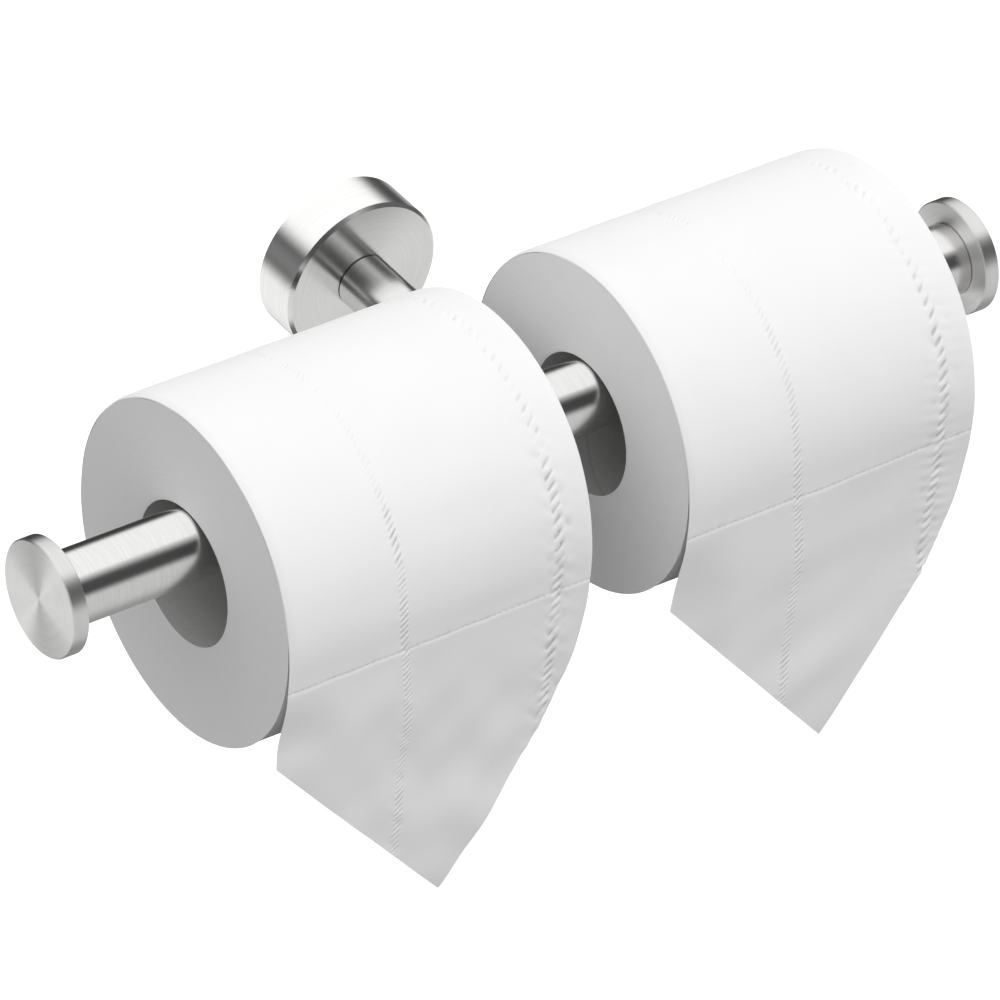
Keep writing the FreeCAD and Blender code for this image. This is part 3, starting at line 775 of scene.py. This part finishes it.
def outer_sheet(side, seed):
    """The whole sheet as one mesh: front layer and the two corners folded back behind it."""
    across, along = sheet_grid()
    index = np.arange(across.size).reshape(across.shape)
    vertices = [place_sheet(across, along, seed).reshape(-1, 3)]
    flat_points = [np.stack([across, along], -1).reshape(-1, 2)]
    grid_corners = [index[:-1, :-1], index[1:, :-1], index[1:, 1:], index[:-1, 1:]]
    quads = np.stack(grid_corners, -1).reshape(-1, 4)
    wide = np.ptp(across.ravel()[quads], axis=1) > 1e-9
    faces = [quads[wide]]
    for edge_column in (0, across.shape[1] - 1):
        first = sum(len(part) for part in vertices)
        points, flat, flap_faces = fold_flap(across, along, edge_column, index, first, seed)
        vertices.append(points)
        flat_points.append(flat)
        faces.append(flap_faces)
    vertices = np.concatenate(vertices)
    vertices[:, 0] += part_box(side + "_sheet")[0].x
    flat_points = np.concatenate(flat_points)
    data = bpy.data.meshes.new(side + "_outer_sheet")
    data.from_pydata(vertices.tolist(), [], np.concatenate(faces).tolist())
    relief = surface_relief(flat_points[:, 0], flat_points[:, 1], seed)
    data.attributes.new("relief", "FLOAT", "POINT").data.foreach_set("value", relief * 1000)
    flat_map = data.uv_layers.new(name="flat")
    corners = np.empty(len(data.loops), dtype=np.int32)
    data.loops.foreach_get("vertex_index", corners)
    flat_map.data.foreach_set("uv", flat_points[corners].ravel())
    mesh = bmesh.new()
    mesh.from_mesh(data)
    bmesh.ops.remove_doubles(mesh, verts=mesh.verts, dist=1e-6)
    loose = [vertex for vertex in mesh.verts if not vertex.link_faces]
    bmesh.ops.delete(mesh, geom=loose, context="VERTS")
    for face in mesh.faces:
        face.smooth = True
    mesh.to_mesh(data)
    mesh.free()
    piece = bpy.data.objects.new(side + "_outer_sheet", data)
    bpy.context.scene.collection.objects.link(piece)
    return piece


def sheet_finish():
    """Sheet tissue: painted shade makes the pressed places a little greyer, and tiny slits along
    the perforated lines.
    """
    material = tissue("sheet_tissue")
    nodes, links = material.node_tree.nodes, material.node_tree.links
    shader = nodes["Principled BSDF"]
    plain = shader.inputs["Base Color"].links[0].from_socket
    relief = nodes.new("ShaderNodeAttribute")
    relief.attribute_name = "relief"
    # Painted shade: where the relief sinks into the pressed grooves, the tissue colour is darkened
    # towards grey 0.60, standing in for the shade that falls in them.
    pressed = nodes.new("ShaderNodeMix")
    pressed.data_type = "RGBA"
    pressed.inputs["B"].default_value = (0.60, 0.60, 0.61, 1)
    painted_groove_shade_mask = ranged(nodes, links, relief.outputs["Fac"], -0.04, -0.40, 0, 1)
    links.new(painted_groove_shade_mask, pressed.inputs["Factor"])
    links.new(plain, pressed.inputs["A"])
    flat = nodes.new("ShaderNodeUVMap")
    flat.uv_map = "flat"
    parts = nodes.new("ShaderNodeSeparateXYZ")
    links.new(flat.outputs["UV"], parts.inputs["Vector"])
    away = nodes.new("ShaderNodeMath")
    away.operation = "SUBTRACT"
    away.inputs[1].default_value = arc_length + perforation_drop
    links.new(parts.outputs["Y"], away.inputs[0])
    distance = nodes.new("ShaderNodeMath")
    distance.operation = "ABSOLUTE"
    links.new(away.outputs[0], distance.inputs[0])
    repeat = nodes.new("ShaderNodeMath")
    repeat.operation = "MULTIPLY"
    repeat.inputs[1].default_value = 2 * math.pi / 0.0021
    links.new(parts.outputs["X"], repeat.inputs[0])
    swing = nodes.new("ShaderNodeMath")
    swing.operation = "SINE"
    links.new(repeat.outputs[0], swing.inputs[0])
    on_line = ranged(nodes, links, distance.outputs[0], 0.00008, 0.00025, 0.6, 0)
    slit = nodes.new("ShaderNodeMath")
    slit.operation = "MULTIPLY"
    links.new(on_line, slit.inputs[0])
    links.new(ranged(nodes, links, swing.outputs[0], -0.6, -0.2, 0, 1), slit.inputs[1])
    cut = nodes.new("ShaderNodeMix")
    cut.data_type = "RGBA"
    cut.inputs["B"].default_value = (0.6, 0.6, 0.61, 1)
    links.new(slit.outputs[0], cut.inputs["Factor"])
    links.new(pressed.outputs["Result"], cut.inputs["A"])
    links.new(cut.outputs["Result"], shader.inputs["Base Color"])
    return material


sheet_tissue = sheet_finish()
for side, seed in (("left", 11), ("right", 43)):
    sheet_piece = outer_sheet(side, seed)
    sheet_piece.data.materials.append(sheet_tissue)
    sheet_piece.visible_glossy = False
    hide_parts(side + "_sheet")
    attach(sheet_piece, side + "_sheet_body")

# ---------------------------------------------------------------------------------------------
# Studio: a pale floor far below the holder, and a light tent round it. The tent glows softly from
# above on the paper; the steel mirrors its bright roof, a dark belt at eye level and pale ground.

floor_drop = 1.2
floor_size = 12
floor_mesh = bmesh.new()
bmesh.ops.create_grid(floor_mesh, x_segments=1, y_segments=1, size=floor_size)
floor_data = bpy.data.meshes.new("studio_floor")
floor_mesh.to_mesh(floor_data)
floor_mesh.free()
floor = bpy.data.objects.new("studio_floor", floor_data)
floor.location.z = -floor_drop
bpy.context.scene.collection.objects.link(floor)
floor_paint, _, _, floor_shader = new_material("pale_floor")
floor_shader.inputs["Base Color"].default_value = (0.9, 0.9, 0.9, 1)
floor_shader.inputs["Roughness"].default_value = 1.0
floor_shader.inputs["Emission Color"].default_value = (1, 1, 1, 1)
floor_shader.inputs["Emission Strength"].default_value = 0.35
floor_data.materials.append(floor_paint)
floor.visible_glossy = False
floor.visible_diffuse = False
floor.visible_shadow = False


def light_tent():
    """The tent as brightness by direction: a soft glow for the paper, cards for the steel."""
    world = bpy.data.worlds.new("light_tent")
    bpy.context.scene.world = world
    world.use_nodes = True
    nodes, links = world.node_tree.nodes, world.node_tree.links
    way = nodes.new("ShaderNodeTexCoord")
    parts = nodes.new("ShaderNodeSeparateXYZ")
    links.new(way.outputs["Generated"], parts.inputs["Vector"])
    x, y, z = parts.outputs["X"], parts.outputs["Y"], parts.outputs["Z"]

    def step(source, low, high):
        node = nodes.new("ShaderNodeMapRange")
        node.interpolation_type = "SMOOTHSTEP"
        node.inputs["From Min"].default_value = low
        node.inputs["From Max"].default_value = high
        links.new(source, node.inputs["Value"])
        return node.outputs["Result"]

    def combine(operation, first, second):
        node = nodes.new("ShaderNodeMath")
        node.operation = operation
        for slot, value in enumerate((first, second)):
            if isinstance(value, (int, float)):
                node.inputs[slot].default_value = value
            else:
                links.new(value, node.inputs[slot])
        return node.outputs[0]

    # The glow grows upward and a little to the right and the front, and never goes out.
    soft = combine("ADD", 0.60, combine("MULTIPLY", z, 0.74))
    soft = combine("ADD", soft, combine("MULTIPLY", x, 0.15))
    soft = combine("ADD", soft, combine("MULTIPLY", y, -0.10))
    soft = combine("MAXIMUM", soft, 0.05)

    # The roof starts higher in front than behind, and a little lower on the right.
    front = step(y, 0.0, -0.45)
    rightward = step(x, -0.1, 0.3)
    roof_line = combine("ADD", 0.22, combine("MULTIPLY", front, 0.46))
    roof_line = combine("SUBTRACT", roof_line, combine("MULTIPLY", rightward, 0.10))
    roof = step(combine("SUBTRACT", z, roof_line), 0.0, 0.32)

    # The ground reaches up to eye level in front, and ends lower down behind.
    ground_line = combine("SUBTRACT", combine("MULTIPLY", front, 0.42), 0.15)
    far_back = combine("MULTIPLY", step(y, 0.70, 0.90), 0.40)
    ground_line = combine("SUBTRACT", ground_line, far_back)
    ground = step(combine("SUBTRACT", ground_line, z), 0.0, 0.33)

    # It is brightest behind on the left, dim straight underneath.
    near_side = step(y, 0.1, -0.7)
    left_back = combine("MULTIPLY", step(x, 0.45, 0.15), combine("SUBTRACT", 1.0, near_side))
    glow = combine("ADD", 0.30, combine("MULTIPLY", near_side, 0.33))
    glow = combine("ADD", glow, combine("MULTIPLY", left_back, 0.62))
    glow = combine("ADD", glow, combine("MULTIPLY", step(x, 0.50, 0.75), 0.40))
    underneath = combine("MULTIPLY", step(z, -0.78, -0.92), step(x, 0.35, 0.10))
    shade = combine("SUBTRACT", 1.0, combine("MULTIPLY", underneath, 0.9))
    glow = combine("MULTIPLY", glow, shade)

    # Roof, ground and a bright card on the far left, over a faint base.
    cards = combine("ADD", 0.045, combine("MULTIPLY", roof, 1.10))
    cards = combine("ADD", cards, combine("MULTIPLY", ground, glow))
    left_card = combine("MULTIPLY", step(x, -0.79, -0.90), 1.10)
    cards = combine("MAXIMUM", cards, left_card)

    ray = nodes.new("ShaderNodeLightPath")
    chosen = nodes.new("ShaderNodeMix")
    links.new(ray.outputs["Is Glossy Ray"], chosen.inputs["Factor"])
    links.new(soft, chosen.inputs["A"])
    links.new(cards, chosen.inputs["B"])
    links.new(chosen.outputs["Result"], nodes["Background"].inputs["Strength"])
    nodes["Background"].inputs["Color"].default_value = (1, 1, 1, 1)


light_tent()
bpy.context.scene.view_settings.view_transform = "Standard"
